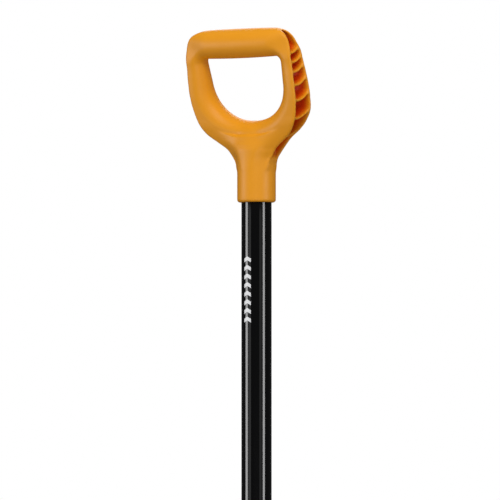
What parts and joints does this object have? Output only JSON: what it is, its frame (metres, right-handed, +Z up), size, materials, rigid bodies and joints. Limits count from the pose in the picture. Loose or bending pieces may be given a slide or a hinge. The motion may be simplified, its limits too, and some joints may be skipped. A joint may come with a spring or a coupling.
{
  "type": "digging fork",
  "caption": "Upright garden digging fork: slanted moulded D-grip on a round steel shaft, socketed head with treads and curved square tines.",
  "frame": {"origin": "centre of the bounding box's bottom, at the height of the tine points", "axes": "+Z up the shaft from the points to the grip, -Y the side that the grip and the tine points lean towards, +X to the right seen from the front"},
  "size_m": [0.1916, 0.0856, 1.1699],
  "materials": {
    "grip_plastic": "orange glass-filled plastic, fine satin moulding texture",
    "screw_steel": "zinc-plated steel",
    "shaft_coating": "smooth glossy black powder coating with a small white print",
    "head_coating": "black powder coating, slightly textured, scuffed at the tine points"
  },
  "bodies": {
    "root": {"crossbar": "head_coating", "d_grip": "grip_plastic", "grip_screw": "screw_steel", "left_brace": "head_coating", "left_inner_tine": "head_coating", "left_inner_tine_weld": "head_coating", "left_outer_tine": "head_coating", "left_outer_tine_weld": "head_coating", "left_tread": "head_coating", "right_brace": "head_coating", "right_inner_tine": "head_coating", "right_inner_tine_weld": "head_coating", "right_outer_tine": "head_coating", "right_outer_tine_weld": "head_coating", "right_tread": "head_coating", "shaft_tube": "shaft_coating", "shaft_weld": "head_coating", "socket": "head_coating", "socket_weld": "head_coating"}
  },
  "joints": []
}
